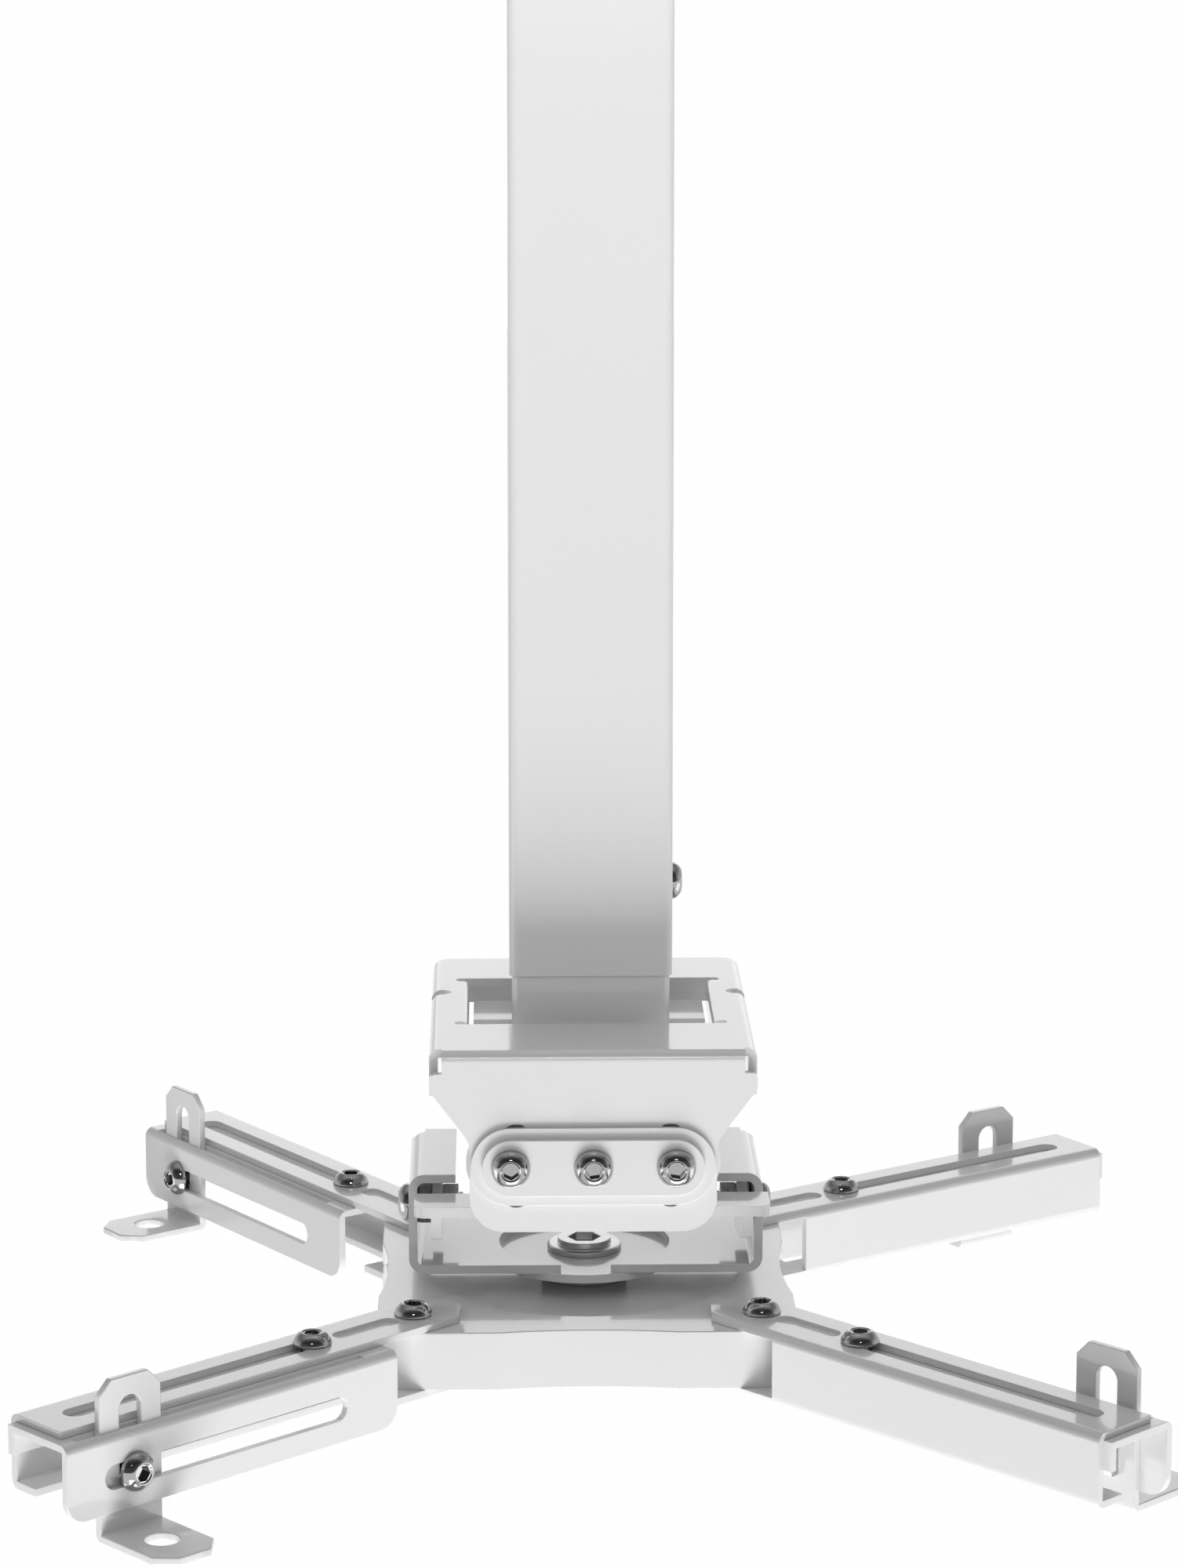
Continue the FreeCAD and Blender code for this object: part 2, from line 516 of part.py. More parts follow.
def hub():
    """The pressed hub plate: a flat with a round dish and a turned-down flange all round."""
    low = "-hub_drop - hub_high"
    outer = hub_form("0", low, "-hub_drop")
    inner = hub_form("hub_sheet", low + " - 1", "-hub_drop - hub_sheet")
    dish = rod("z", "hub_dish/2", "hub_dish_drop + hub_sheet", 0, 0,
               "-hub_drop - hub_dish_drop - hub_sheet")
    bowl = rod("z", "hub_dish/2 - hub_sheet", "hub_dish_drop + 1", 0, 0, "-hub_drop - hub_dish_drop")
    holes = [rod("z", "pan_bore/2 + fit", 20, 0, 0, "-hub_drop - 15")]
    for across in ("-pivot_half", "pivot_half"):
        for deep in ("-pivot_half", "pivot_half"):
            holes.append(rod("z", "screw_bore/2", "hub_sheet + 2", across, deep,
                             "-hub_drop - hub_sheet - 1"))
    node("hub_plate", cut(fuse(cut(outer, inner), dish), bowl, *holes), "-yoke_shift")


def arm_channel():
    """The C channel in its own frame, top face at zero, with the fork that straddles the hub's ear."""
    deep = "hub_high + 2*arm_sheet + 2*arm_gap"
    top = box(("-arm_nose", "arm_long"), ("-arm_half", "arm_open"), ("-arm_sheet", "0"))
    web = box(("web_start", "arm_long"), ("-arm_half", "arm_sheet - arm_half"), ("-(%s)" % deep, "0"))
    under = ("-(%s)" % deep, "arm_sheet - (%s)" % deep)
    lip = box(("0", "arm_long"), ("-arm_half", "arm_lip - arm_half"), under)
    foot = box(("-arm_nose", "web_start"), ("-arm_half", "arm_open"), under)
    top, foot = [rounded(leaf, size("nose_cut"), "z", lambda p: p.x < 0.1 - size("arm_nose"),
                         kind="Chamfer") for leaf in (top, foot)]
    solid = rounded(fuse(top, web, lip, foot), size("arm_bend"), "x",
                    lambda p: p.y < 0.2 - size("arm_half")
                    and (p.z > -0.1 or p.z < -size("hub_high") - 3))
    holes = [rod("z", "screw_bore/2 + fit", 30, 0, 0, -25),
             slot("xy", ("slide_at - 0.5", "slide_at + slide_travel + 3"), "0",
                  "screw_bore + 2*slot_play", "-arm_sheet - 1", "1")]
    groove = slot("xy", ("groove_start", "groove_end"), "0", "groove_wide", "-groove_deep", "1")
    return cut(solid, groove, *holes)


def arm_slider():
    """The inverted U that slides in the channel: inner flange, top plate and slotted outer flange."""
    top_z = "-arm_sheet - arm_gap"
    low_z = top_z + " - arm_sheet"
    inner_y = "arm_sheet + arm_gap - arm_half"
    top = box(("slider_start", "slider_end"), (inner_y, "flange_out"), (low_z, top_z))
    inner = box(("slider_start", "slider_end"), (inner_y, inner_y + " + arm_sheet"),
                ("-slider_inner_low", top_z))
    outer = box(("slider_start", "slider_end"), ("flange_out - arm_sheet", "flange_out"),
                ("-slider_low", top_z))
    outer = rounded(outer, 6, "y", lambda p: p.z < -size("slider_low") + 1)
    solid = rounded(fuse(top, inner, outer), size("arm_bend"), "x",
                    lambda p: p.y > size("flange_out") - 0.1 and p.z > -size("slider_inner_low"))
    rail = slot("xz", ("rail_start", "rail_end"), "-foot_screw_drop", "screw_bore + 2*slot_play",
                "flange_out - arm_sheet - 1", "flange_out + 1")
    way = box(("rail_start - foot_wide/2 - 1", "rail_end + 1 + foot_wide/2"),
              ("flange_out - arm_sheet - foot_thick - 2*fit - 0.2", "flange_out - arm_sheet"),
              (low_z + " - 0.1", top_z + " + 0.1"))
    hole = rod("z", "screw_bore/2", "arm_sheet + 2", "slide_at", 0, low_z + " - 1")
    return cut(solid, rail, way, hole)


def arm_foot(at):
    """The foot: an upright with a long slot, and a toe that points away from the slider."""
    back = "flange_out - arm_sheet - fit"
    span = (at + " - foot_wide/2", at + " + foot_wide/2")
    upright = box(span, (back + " - foot_thick", back), ("-foot_low", "foot_up"))
    upright = rounded(upright, 4, "y", lambda p: p.z > size("foot_up") - 1, kind="Chamfer")
    toe = box(span, (back + " - foot_thick", back + " + foot_long - foot_thick"),
              ("-foot_low", "foot_thick - foot_low"))
    toe = rounded(toe, 5, "z", lambda p: p.y > size("flange_out") + 5, kind="Chamfer")
    rise = slot("zx", ("-foot_slot_low", "foot_slot_top"), at, "foot_slot",
                back + " - foot_thick - 1", back + " + 1")
    hole = rod("z", "foot_hole/2", "foot_thick + 2", at,
               back + " - foot_thick + foot_hole_at", "-foot_low - 1")
    solid = rounded(fuse(upright, toe), size("foot_thick") * 0.9, "x",
                    lambda p: p.z < 0.1 - size("foot_low") and p.y < size("flange_out"))
    return cut(solid, rise, hole)


def plate_nut(at):
    """The tall rectangular nut behind the foot's upright."""
    thick = box((at + " - plate_nut_wide/2", at + " + plate_nut_wide/2"),
                ("flange_out - arm_sheet - 2*fit - foot_thick - plate_nut_thick",
                 "flange_out - arm_sheet - 2*fit - foot_thick"),
                ("-foot_screw_drop - plate_nut_high/2", "plate_nut_high/2 - foot_screw_drop"))
    return cut(thick, rod("y", "screw_bore/2", 20, at, 0, "-foot_screw_drop"))


def arm_place(heading, side_x, side_y):
    """Where an arm's own frame lies: over the hub's ear, with its top face above the hub's."""
    return dict(x="%d*pivot_half - yoke_shift" % side_x, y="%d*pivot_half" % side_y,
                z="%s - hub_drop + arm_sheet + arm_gap" % HEAD, heading=heading)


def held(item):
    """Hold a piece at its own place within an arm's frame."""
    holder = doc.addObject("Part::Compound", "Held")
    holder.Links = [item]
    return holder


def standing(item, x, z):
    """A piece moved along an arm and up or down."""
    return held(locate(item, x, 0, z))


def arm(tag, side_x, side_y):
    """One telescopic arm with its screws, nuts and foot."""
    place = arm_place("heading_" + tag, side_x, side_y)
    at = "foot_at_" + tag
    node("arm_channel_" + tag, arm_channel(), **place)
    node("arm_slider_" + tag, arm_slider(), **place)
    node("arm_foot_" + tag, standing(arm_foot(at), 0, "foot_lift_" + tag), **place)
    deep = "hub_high + 2*arm_sheet + 2*arm_gap"
    node("pivot_screw_" + tag, screw("%s + pivot_end" % deep), **place)
    nut = hex_nut("nut_flats", "nut_high", "screw_bore/2")
    node("pivot_nut_" + tag, standing(nut, 0, "arm_sheet + fit - (%s)" % deep), **place)
    bolt = screw("2*arm_sheet + arm_gap + nut_high + 1")
    node("slide_screw_" + tag, standing(bolt, "slide_at", 0), **place)
    nut = hex_nut("nut_flats", "nut_high", "screw_bore/2")
    node("slide_nut_" + tag, standing(nut, "slide_at", "-2*arm_sheet - arm_gap - nut_high"), **place)
    bolt = screw("arm_sheet + foot_thick + plate_nut_thick + 2*fit + 0.6")
    bolt.Placement.Rotation = FreeCAD.Rotation(FreeCAD.Vector(1, 0, 0), -90)
    locate(bolt, at, "flange_out", "-foot_screw_drop")
    node("foot_screw_" + tag, held(bolt), **place)
    node("foot_nut_" + tag, plate_nut(at), **place)


ceiling_plate()
column()
saddle()
roll_clamp()
tilt_housing()
tilt_ledge()
yoke()
pitch_screws()
pan_pivot()
hub()
for tag, side_x, side_y in (("nl", -1, -1), ("nr", 1, -1), ("fl", -1, 1), ("fr", 1, 1)):
    arm(tag, side_x, side_y)

doc.recompute()
failed = [item.Name for item in doc.Objects if "Invalid" in item.State or "Error" in item.State]
if failed:
    raise RuntimeError("failed objects: " + ", ".join(failed))
triangles = 0
for item in NODES:
    shape = item.Shape
    if shape.isNull() or not shape.isValid() or len(shape.Solids) != 1:
        raise RuntimeError("%s: %d solids, valid %s" % (item.Label, len(shape.Solids), shape.isValid()))
    triangles += len(shape.tessellate(0.2)[1])
    shape.exportStep("parts/%s.step" % item.Label)
print(len(NODES), "nodes,", triangles, "triangles")
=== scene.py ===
import json
import math

import bmesh
import bpy
from mathutils import Matrix, Vector


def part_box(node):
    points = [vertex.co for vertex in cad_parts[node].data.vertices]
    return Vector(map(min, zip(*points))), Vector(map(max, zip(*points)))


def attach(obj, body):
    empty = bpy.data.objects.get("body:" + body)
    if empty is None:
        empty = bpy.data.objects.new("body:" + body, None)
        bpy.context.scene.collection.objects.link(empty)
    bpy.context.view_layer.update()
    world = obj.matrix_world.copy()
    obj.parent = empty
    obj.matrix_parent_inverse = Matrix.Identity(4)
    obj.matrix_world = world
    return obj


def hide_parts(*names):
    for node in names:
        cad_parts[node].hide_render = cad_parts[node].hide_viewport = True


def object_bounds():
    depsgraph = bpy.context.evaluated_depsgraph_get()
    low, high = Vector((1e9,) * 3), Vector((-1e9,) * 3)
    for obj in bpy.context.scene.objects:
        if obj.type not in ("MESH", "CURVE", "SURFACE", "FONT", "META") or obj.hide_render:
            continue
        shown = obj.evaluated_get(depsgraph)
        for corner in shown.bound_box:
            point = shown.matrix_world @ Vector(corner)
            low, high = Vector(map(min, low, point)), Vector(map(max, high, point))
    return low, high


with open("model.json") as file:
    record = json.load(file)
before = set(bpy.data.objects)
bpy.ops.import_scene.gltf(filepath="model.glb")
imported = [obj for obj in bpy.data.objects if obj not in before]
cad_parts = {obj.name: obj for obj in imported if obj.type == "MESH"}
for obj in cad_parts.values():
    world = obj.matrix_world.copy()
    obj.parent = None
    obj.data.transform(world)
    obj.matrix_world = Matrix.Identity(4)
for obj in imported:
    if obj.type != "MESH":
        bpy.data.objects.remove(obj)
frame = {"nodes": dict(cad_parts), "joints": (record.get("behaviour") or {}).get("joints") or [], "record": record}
cad_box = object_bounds()

# The camera stands in front of the mount and a little above the arms, as the photographer did.
# The picture shows the lower part of the column, so the column runs out of its top edge.
IMAGE_HIGH = 2000
FOCAL_PIXELS = 6010
SENSOR = 36
FRAME_DROP = 0.15
CAMERA_PLACE = Vector((-0.0263, -1.2845, 0.0154))
CAMERA_TURN = math.radians(1.17)
CAMERA_TILT = math.radians(8.99)
camera = bpy.data.objects.new("camera", bpy.data.cameras.new("camera"))
bpy.context.collection.objects.link(camera)
camera.data.sensor_width = SENSOR
camera.data.lens = FOCAL_PIXELS / IMAGE_HIGH * SENSOR
camera.data.shift_y = -FRAME_DROP
camera.location = CAMERA_PLACE
camera.rotation_euler = (math.radians(90) - CAMERA_TILT, 0, -CAMERA_TURN)
bpy.context.scene.camera = camera


# The ceiling plate is laser-cut steel, drilled for four screws and a cable. Like all the sheet
# steel here it is powder coated: a glossy white skin with a faint peel that rounds every rim.
def powder_grain_group():
    """Fine ripple of sprayed powder, and slow patches in its gloss and in its tone."""
    group = bpy.data.node_groups.new("powder grain", "ShaderNodeTree")
    for name, usual in (("Ripple scale", 420.0), ("Patch scale", 18.0),
                        ("Gloss", 0.22), ("Gloss spread", 0.03)):
        socket = group.interface.new_socket(name, in_out="INPUT", socket_type="NodeSocketFloat")
        socket.default_value = usual
    for name in ("Height", "Roughness", "Tone"):
        group.interface.new_socket(name, in_out="OUTPUT", socket_type="NodeSocketFloat")
    nodes, links = group.nodes, group.links
    given, out = nodes.new("NodeGroupInput"), nodes.new("NodeGroupOutput")
    place = nodes.new("ShaderNodeTexCoord")
    ripple, patch = nodes.new("ShaderNodeTexNoise"), nodes.new("ShaderNodeTexNoise")
    ripple.inputs["Detail"].default_value = 1.0
    patch.inputs["Detail"].default_value = 3.0
    for texture, scale in ((ripple, "Ripple scale"), (patch, "Patch scale")):
        links.new(place.outputs["Object"], texture.inputs["Vector"])
        links.new(given.outputs[scale], texture.inputs["Scale"])
    spread = nodes.new("ShaderNodeMath")
    spread.operation = "MULTIPLY_ADD"
    links.new(patch.outputs["Fac"], spread.inputs[0])
    links.new(given.outputs["Gloss spread"], spread.inputs[1])
    links.new(given.outputs["Gloss"], spread.inputs[2])
    links.new(ripple.outputs["Fac"], out.inputs["Height"])
    links.new(spread.outputs[0], out.inputs["Roughness"])
    links.new(patch.outputs["Fac"], out.inputs["Tone"])
    return group


COAT_WHITE = (0.80, 0.80, 0.80)
THIN_COAT = 0.99
COAT_GLOSS = 0.25
PEEL = 0.05
PEEL_HIGH = 0.0002


def powder_coat():
    """White powder coat with a clear gloss over it."""
    material = bpy.data.materials.new("gloss white powder coat")
    material.use_nodes = True
    nodes, links = material.node_tree.nodes, material.node_tree.links
    skin = nodes["Principled BSDF"]
    skin.inputs["Coat Weight"].default_value = 1.0
    skin.inputs["Coat Roughness"].default_value = 0.07
    skin.inputs["Coat IOR"].default_value = 1.5
    skin.inputs["Specular IOR Level"].default_value = 0.3
    grain = nodes.new("ShaderNodeGroup")
    grain.node_tree = powder_grain_group()
    grain.inputs["Gloss"].default_value = COAT_GLOSS
    tone = nodes.new("ShaderNodeValToRGB")
    tone.color_ramp.elements[0].position = 0.3
    tone.color_ramp.elements[1].position = 0.7
    tone.color_ramp.elements[0].color = [c * THIN_COAT for c in COAT_WHITE] + [1]
    tone.color_ramp.elements[1].color = list(COAT_WHITE) + [1]
    links.new(grain.outputs["Tone"], tone.inputs["Fac"])
    links.new(tone.outputs["Color"], skin.inputs["Base Color"])
    links.new(grain.outputs["Roughness"], skin.inputs["Roughness"])
    bump = nodes.new("ShaderNodeBump")
    bump.inputs["Strength"].default_value = PEEL
    bump.inputs["Distance"].default_value = PEEL_HIGH
    links.new(grain.outputs["Height"], bump.inputs["Height"])
    links.new(bump.outputs["Normal"], skin.inputs["Normal"])
    return material


white_coat = powder_coat()


def on_body(piece, node):
    """Let a piece stand for a solid, on that solid's own body."""
    bodies = frame["record"]["behaviour"]["bodies"]
    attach(piece, next(name for name, members in bodies.items() if node in members))
    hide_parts(node)


MERGE_WITHIN = 0.000002
FLAT_WITHIN = math.radians(0.6)
FOLD_OVER = math.radians(60)
RIM_OVER = math.radians(45)
SMOOTH_WITHIN = math.radians(38)


def eased(node, rim=0.0005, bend=None, bend_size=0.0, finish=white_coat):
    """A finished copy of a sheet or plain part: a chosen bend softened, every sharp rim eased."""
    source = frame["nodes"][node]
    piece = source.copy()
    piece.data = source.data.copy()
    piece.parent = None
    piece.matrix_world = Matrix.Identity(4)
    piece.name = node + ".coated"
    bpy.context.collection.objects.link(piece)
    mesh = bmesh.new()
    mesh.from_mesh(piece.data)
    bmesh.ops.transform(mesh, matrix=source.matrix_world, verts=mesh.verts)
    bmesh.ops.remove_doubles(mesh, verts=mesh.verts, dist=MERGE_WITHIN)
    bmesh.ops.dissolve_limit(mesh, angle_limit=FLAT_WITHIN, verts=mesh.verts, edges=mesh.edges)
    mesh.to_mesh(piece.data)
    mesh.free()
    piece.data.materials.clear()
    piece.data.materials.append(finish)
    bpy.ops.object.select_all(action="DESELECT")
    bpy.context.view_layer.objects.active = piece
    piece.select_set(True)
    if bend:
        bpy.ops.object.mode_set(mode="EDIT")
        bpy.ops.mesh.select_all(action="DESELECT")
        mesh = bmesh.from_edit_mesh(piece.data)
        for edge in mesh.edges:
            edge.select_set(edge.is_manifold and edge.calc_face_angle(0) > FOLD_OVER
                            and all(bend(point.co) for point in edge.verts))
        bmesh.update_edit_mesh(piece.data)
        bpy.ops.mesh.bevel(offset=bend_size, segments=4, clamp_overlap=True)
        bpy.ops.object.mode_set(mode="OBJECT")
    ease = piece.modifiers.new("rim", "BEVEL")
    ease.width = rim
    ease.segments = 2
    ease.limit_method = "ANGLE"
    ease.angle_limit = RIM_OVER
    bpy.ops.object.modifier_apply(modifier="rim")
    bpy.ops.object.shade_smooth_by_angle(angle=SMOOTH_WITHIN)
    flats = piece.modifiers.new("flats", "WEIGHTED_NORMAL")
    flats.keep_sharp = True
    bpy.ops.object.modifier_apply(modifier="flats")
    piece.select_set(False)
    on_body(piece, node)
    return piece


eased("ceiling_plate", rim=0.0006)

# The column is square tube, welded all round to the plate above and open at its lower end.
# The weld is one round bead laid in the corner, under the same coat.
eased("column_tube")
tube_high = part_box("column_tube")[1]
BEAD = 0.0035
BEAD_CORNER = 0.004
bpy.ops.object.select_all(action="DESELECT")
bpy.ops.mesh.primitive_plane_add(size=1, location=(0, 0, tube_high[2] - BEAD / 2))
bead = bpy.context.object
bead.name = "column_weld"
bpy.ops.object.mode_set(mode="EDIT")
bpy.ops.transform.resize(value=(tube_high[0] * 2, tube_high[0] * 2, 1))
bpy.ops.mesh.bevel(offset=BEAD_CORNER, segments=6, affect="VERTICES")
bpy.ops.mesh.delete(type="ONLY_FACE")
bpy.ops.object.mode_set(mode="OBJECT")
bpy.ops.object.transform_apply(location=True, rotation=True, scale=True)
bpy.ops.object.convert(target="CURVE")
bead = bpy.context.object
bead.data.bevel_depth = BEAD * 0.75
bead.data.bevel_resolution = 3
bpy.ops.object.convert(target="MESH")
bead = bpy.context.object
bead.data.materials.append(white_coat)
bpy.ops.object.shade_smooth()
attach(bead, "column")
bead.select_set(False)

# The column's screw holds the saddle in the tube. It is a cold-headed button head with a hexagon
# socket and a rolled thread, chromed bright, and every other screw on the mount is of its kind.
HEAD_RADIUS = 0.00525
HEAD_HIGH = 0.0033
SEAT_GAP = 0.00006
SHANK_RADIUS = 0.0028
POINT_RADIUS = 0.0022
ROOT_RADIUS = 0.0024
THREAD_PITCH = 0.001
THREAD_TURNS = 6
PLAIN_SHANK_MM = 6
SOCKET_FLATS = 0.004
SOCKET_DEPTH = 0.002
TURNED_SIDES = 48
SCREW_SMOOTH = math.radians(32)
HEAD_RINGS = [(HEAD_RADIUS - 0.0003, SEAT_GAP), (HEAD_RADIUS, 0.0002), (HEAD_RADIUS, 0.0006),
              (0.0051, 0.0012), (0.00478, 0.0018), (0.0043, 0.0024), (0.0038, 0.00285),
              (0.0034, 0.0031), (0.0031, 0.00325), (0.0029, HEAD_HIGH), (0.00275, HEAD_HIGH),
              (0.0024, HEAD_HIGH - 0.0003)]
CHROME_TONE = (0.45, 0.45, 0.46)


def fine_scuffs_group():
    """Fine scuffs of handling: a height, a tone, and a roughness spread round a middle value."""
    group = bpy.data.node_groups.new("fine scuffs", "ShaderNodeTree")
    for name, usual in (("Scuff scale", 700.0), ("Dull", 0.4), ("Bright", 0.2)):
        socket = group.interface.new_socket(name, in_out="INPUT", socket_type="NodeSocketFloat")
        socket.default_value = usual
    for name in ("Height", "Roughness", "Tone"):
        group.interface.new_socket(name, in_out="OUTPUT", socket_type="NodeSocketFloat")
    nodes, links = group.nodes, group.links
    given, out = nodes.new("NodeGroupInput"), nodes.new("NodeGroupOutput")
    place, scuffs = nodes.new("ShaderNodeTexCoord"), nodes.new("ShaderNodeTexNoise")
    scuffs.inputs["Detail"].default_value = 5.0
    links.new(place.outputs["Object"], scuffs.inputs["Vector"])
    links.new(given.outputs["Scuff scale"], scuffs.inputs["Scale"])
    gloss = nodes.new("ShaderNodeMapRange")
    links.new(scuffs.outputs["Fac"], gloss.inputs["Value"])
    links.new(given.outputs["Bright"], gloss.inputs["To Min"])
    links.new(given.outputs["Dull"], gloss.inputs["To Max"])
    links.new(scuffs.outputs["Fac"], out.inputs["Height"])
    links.new(gloss.outputs["Result"], out.inputs["Roughness"])
    links.new(scuffs.outputs["Fac"], out.inputs["Tone"])
    return group


fine_scuffs = fine_scuffs_group()
SCUFF_SPREAD = 0.4
SCUFF_SHADE = 0.88
SCUFF_BUMP = 0.04
SCUFF_DEEP = 0.00005


def scuffed(name, tone, gloss, metallic=1.0):
    """Plated steel, or with no metallic a plain plastic, with fine scuffs in gloss and tone."""
    material = bpy.data.materials.new(name)
    material.use_nodes = True
    nodes, links = material.node_tree.nodes, material.node_tree.links
    skin = nodes["Principled BSDF"]
    skin.inputs["Metallic"].default_value = metallic
    scuffs = nodes.new("ShaderNodeGroup")
    scuffs.node_tree = fine_scuffs
    scuffs.inputs["Bright"].default_value = gloss * (1 - SCUFF_SPREAD)
    scuffs.inputs["Dull"].default_value = gloss * (1 + SCUFF_SPREAD)
    links.new(scuffs.outputs["Roughness"], skin.inputs["Roughness"])
    tint = nodes.new("ShaderNodeValToRGB")
    tint.color_ramp.elements[0].color = [c * SCUFF_SHADE for c in tone] + [1]
    tint.color_ramp.elements[1].color = list(tone) + [1]
    links.new(scuffs.outputs["Tone"], tint.inputs["Fac"])
    links.new(tint.outputs["Color"], skin.inputs["Base Color"])
    bump = nodes.new("ShaderNodeBump")
    bump.inputs["Strength"].default_value = SCUFF_BUMP
    bump.inputs["Distance"].default_value = SCUFF_DEEP
    links.new(scuffs.outputs["Height"], bump.inputs["Height"])
    links.new(bump.outputs["Normal"], skin.inputs["Normal"])
    return material


chrome = scuffed("bright chrome", CHROME_TONE, 0.09)


def drawn_up(name, rings):
    """A turned form on Z, drawn up from its lowest disc through rings of (radius, height)."""
    bpy.ops.object.select_all(action="DESELECT")
    bpy.ops.mesh.primitive_circle_add(vertices=TURNED_SIDES, radius=rings[0][0], fill_type="NGON",
                                      location=(0, 0, rings[0][1]))
    form = bpy.context.object
    form.name = name
    bpy.ops.object.transform_apply(location=True, rotation=False, scale=False)
    bpy.ops.object.mode_set(mode="EDIT")
    bpy.ops.mesh.select_all(action="SELECT")
    for (last, here), (wide, high) in zip(rings, rings[1:]):
        bpy.ops.mesh.extrude_region_move(TRANSFORM_OT_translate={"value": (0, 0, high - here)})
        bpy.ops.transform.resize(value=(wide / last, wide / last, 1))
    bpy.ops.mesh.select_all(action="SELECT")
    bpy.ops.mesh.normals_make_consistent(inside=False)
    bpy.ops.object.mode_set(mode="OBJECT")
    return form


def button_screw(length):
    """One button head screw, head upwards on the origin, with thread on the end of its shank."""
    rings = [(POINT_RADIUS, -length), (0.0026, -length + 0.0004)]
    for turn in range(min(THREAD_TURNS, int(length * 1000) - PLAIN_SHANK_MM)):
        low = -length + 0.0005 + turn * THREAD_PITCH
        rings += [(SHANK_RADIUS, low + THREAD_PITCH * 0.25),
                  (ROOT_RADIUS, low + THREAD_PITCH * 0.75)]
    rings += [(SHANK_RADIUS, -0.0003), (SHANK_RADIUS, SEAT_GAP)]
    screw = drawn_up("button_screw", rings + HEAD_RINGS)
    bpy.ops.mesh.primitive_cylinder_add(vertices=6, radius=SOCKET_FLATS / 2 / math.cos(math.pi / 6),
                                        depth=SOCKET_DEPTH * 2, location=(0, 0, HEAD_HIGH))
    hexagon = bpy.context.object
    socket = screw.modifiers.new("socket", "BOOLEAN")
    socket.operation = "DIFFERENCE"
    socket.solver = "EXACT"
    socket.object = hexagon
    bpy.context.view_layer.objects.active = screw
    bpy.ops.object.modifier_apply(modifier="socket")
    bpy.data.objects.remove(hexagon)
    bpy.ops.object.select_all(action="DESELECT")
    screw.select_set(True)
    bpy.ops.object.shade_smooth_by_angle(angle=SCREW_SMOOTH)
    screw.data.materials.append(chrome)
    return screw


def seat_of(node, axis):
    """Where a screw's head sits, and how long its shank is, along its own axis."""
    source = frame["nodes"][node]
    points = [source.matrix_world @ point.co for point in source.data.vertices]
    side = axis.orthogonal().normalized()
    middle = Vector()
    for across in (side, axis.cross(side)):
        reach = [point.dot(across) for point in points]
        middle += across * (max(reach) + min(reach)) / 2
    along = [point.dot(axis) for point in points]
    return middle + axis * (max(along) - HEAD_HIGH), max(along) - min(along) - HEAD_HIGH


def drive_screws(places):
    """One screw for like places, and a copy driven home at each (node, axis, socket's turn)."""
    length = seat_of(places[0][0], places[0][1])[1]
    pattern = button_screw(length)
    for node, axis, turn in places:
        seat = seat_of(node, axis)[0]
        screw = pattern.copy()
        screw.data = pattern.data.copy()
        screw.name = node + ".driven"
        bpy.context.collection.objects.link(screw)
        tilt = axis.to_track_quat("Z", "Y").to_matrix().to_4x4()
        spun = Matrix.Rotation(math.radians(turn), 4, "Z")
        screw.data.transform(Matrix.Translation(seat) @ tilt @ spun)
        on_body(screw, node)
    bpy.data.objects.remove(pattern)


RIGHT = Vector((1, 0, 0))
drive_screws([("column_screw", RIGHT, 12)])

# The saddle is forged: a stub inside the column, a square neck, two shoulders and a flat nose.
# Its corners are drawn rounder than the folded sheets', and its shoulders fill the housing's
# window to within a millimetre of the lips.
SHOULDER_AT = 0.030
SHOULDER_GAIN = 0.0014
saddle = eased("saddle", rim=0.0009)
for point in saddle.data.vertices:
    if abs(point.co.x) > SHOULDER_AT:
        point.co.x += math.copysign(SHOULDER_GAIN, point.co.x)

# The tilt housing is one sheet folded down all round, with a lipped window, relief cuts at the
# corners and a long tongue at the front. It rolls on the saddle's nose.
eased("tilt_housing", rim=0.0004)

# The ledge is a flat bar, welded behind the housing's tongue. Two flat ears are welded to it,
# and they hold the tray between them.
eased("tilt_ledge")

# The clamp plate is pressed with a raised middle. Three screws pull it, the housing's tongue and
# the saddle's nose together on a threaded bar of zinc-plated steel.
FRONT = Vector((0, -1, 0))
zinc = scuffed("satin zinc", (0.55, 0.55, 0.56), 0.28)
eased("roll_clamp_plate", rim=0.0008)
eased("roll_nut_bar", rim=0.0004, finish=zinc)
drive_screws([("roll_screw_1", FRONT, 5), ("roll_screw_2", FRONT, 38), ("roll_screw_3", FRONT, 21)])

# The tray is folded from one sheet and pressed with a round dish in its floor. It hangs from the
# ears on two pitch screws, each with a spacer outside the ear and a nut inside it.
LEFT = Vector((-1, 0, 0))
eased("yoke_tray")
drive_screws([("pitch_screw_left", LEFT, 10)])
drive_screws([("pitch_screw_right", RIGHT, 33)])
for node in ("pitch_spacer_left", "pitch_spacer_right", "pitch_nut_left", "pitch_nut_right"):
    eased(node, rim=0.0004, finish=zinc)

# The pan screw has a wide flange that lies in the tray's dish. A washer of white nylon runs
# between tray and hub, and a large nut closes the joint under the hub.
pale_zinc = scuffed("pale zinc", (0.7, 0.7, 0.7), 0.32)
white_nylon = scuffed("white nylon", (0.62, 0.62, 0.60), 0.45, metallic=0.0)
eased("pan_screw", rim=0.0003, finish=pale_zinc)
eased("pan_nut", rim=0.0008, finish=zinc)
eased("pan_washer", rim=0.0004, finish=white_nylon)

# The hub is pressed from one sheet, with a shallow round dish and a flange turned down all round
# over a soft bend. Its four round ears carry the arms.
hub_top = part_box("hub_plate")[1][2]
DISH_EDGE = 0.048
TOP_WITHIN = 0.0001


